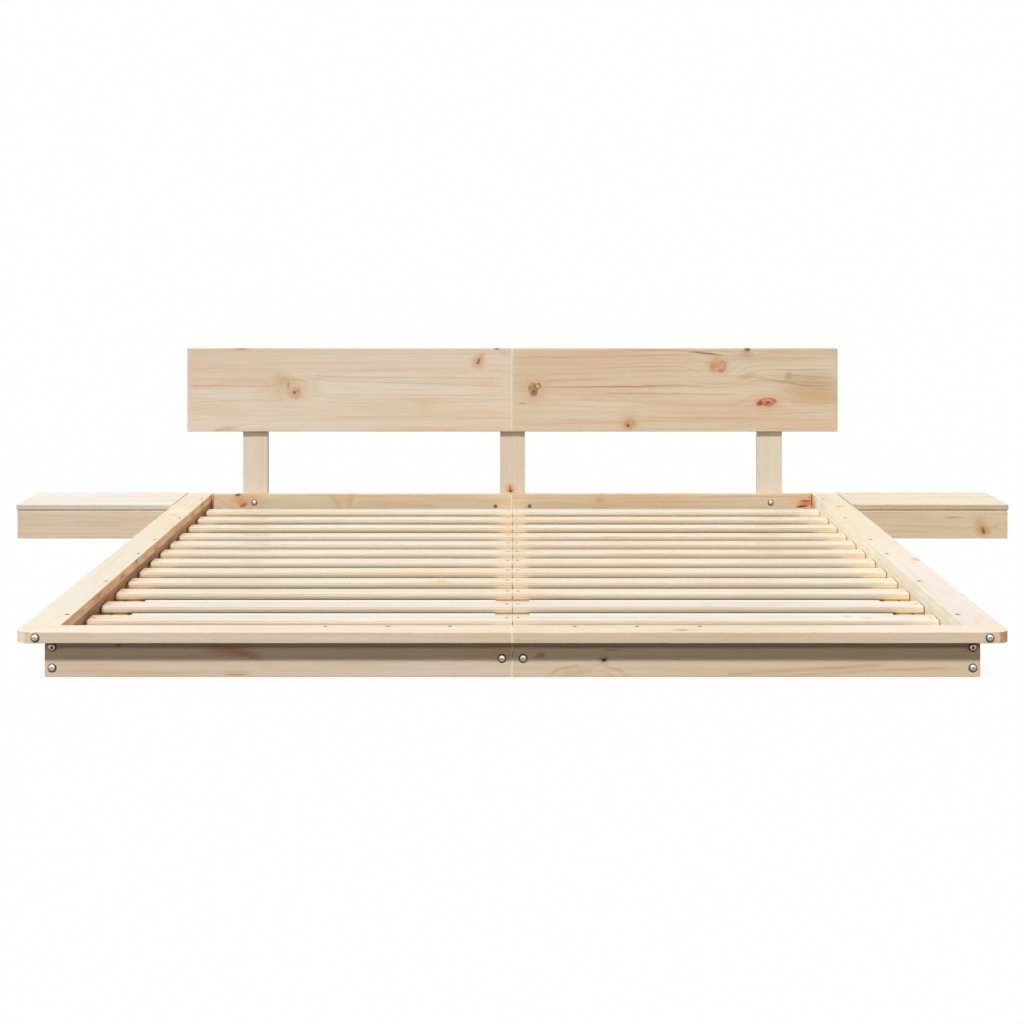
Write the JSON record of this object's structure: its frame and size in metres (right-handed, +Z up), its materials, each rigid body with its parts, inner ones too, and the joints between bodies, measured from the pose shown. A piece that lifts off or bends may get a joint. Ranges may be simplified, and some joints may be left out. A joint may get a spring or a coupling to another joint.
{
  "type": "platform bed with nightstands",
  "caption": "Low pine platform bed with a slatted base in a flat overhanging frame, a plain headboard on posts and a low box nightstand on each side.",
  "frame": {"origin": "on the floor, in the middle of the whole object's plan", "axes": "+X across the bed towards the right-hand nightstand, seen from the foot; +Y from the foot to the headboard; +Z up"},
  "size_m": [2.868, 2.1426, 0.536],
  "materials": {
    "headboard_pine": "knotty pine under clear matt lacquer",
    "rail_pine": "knotty pine under clear matt lacquer",
    "base_pine": "knotty pine under clear matt lacquer",
    "slat_pine": "sanded pale pine",
    "nightstand_pine": "knotty pine under clear matt lacquer",
    "bolt_steel": "nickel-plated, satin",
    "connector_steel": "dull zinc",
    "screw_steel": "dull zinc"
  },
  "bodies": {
    "root": {"headboard_panel_left": "headboard_pine", "headboard_panel_right": "headboard_pine", "headboard_post_left": "headboard_pine", "headboard_post_center": "headboard_pine", "headboard_post_right": "headboard_pine", "back_rail_left": "base_pine", "back_rail_right": "base_pine", "foot_board_left": "base_pine", "foot_board_right": "base_pine", "side_board_left_front": "base_pine", "side_board_left_rear": "base_pine", "side_board_right_front": "base_pine", "side_board_right_rear": "base_pine", "foot_top_rail_left": "rail_pine", "foot_top_rail_right": "rail_pine", "side_top_rail_left_front": "rail_pine", "side_top_rail_left_rear": "rail_pine", "side_top_rail_right_front": "rail_pine", "side_top_rail_right_rear": "rail_pine", "slat_ledger_left_front": "base_pine", "slat_ledger_left_rear": "base_pine", "slat_ledger_right_front": "base_pine", "slat_ledger_right_rear": "base_pine", "slat_end_battens": "base_pine", "center_beam_front": "base_pine", "center_beam_rear": "base_pine", "center_beam_feet": "base_pine", "slat_row_01": "slat_pine", "slat_row_02": "slat_pine", "slat_row_03": "slat_pine", "slat_row_04": "slat_pine", "slat_row_05": "slat_pine", "slat_row_06": "slat_pine", "slat_row_07": "slat_pine", "slat_row_08": "slat_pine", "slat_row_09": "slat_pine", "slat_row_10": "slat_pine", "slat_row_11": "slat_pine", "slat_row_12": "slat_pine", "slat_row_13": "slat_pine", "nightstand_left_top": "nightstand_pine", "nightstand_left_front": "nightstand_pine", "nightstand_left_back": "nightstand_pine", "nightstand_left_outer_side": "nightstand_pine", "nightstand_left_inner_side": "nightstand_pine", "nightstand_right_top": "nightstand_pine", "nightstand_right_front": "nightstand_pine", "nightstand_right_back": "nightstand_pine", "nightstand_right_outer_side": "nightstand_pine", "nightstand_right_inner_side": "nightstand_pine", "nightstand_spacer_left": "base_pine", "nightstand_spacer_right": "base_pine", "frame_bolts": "bolt_steel", "cap_nuts": "bolt_steel", "cross_dowel_nuts": "connector_steel", "seam_connector_bolts": "connector_steel", "frame_screws": "screw_steel", "slat_screws": "screw_steel", "headboard_screws": "screw_steel", "nightstand_bolts": "bolt_steel"}
  },
  "joints": []
}
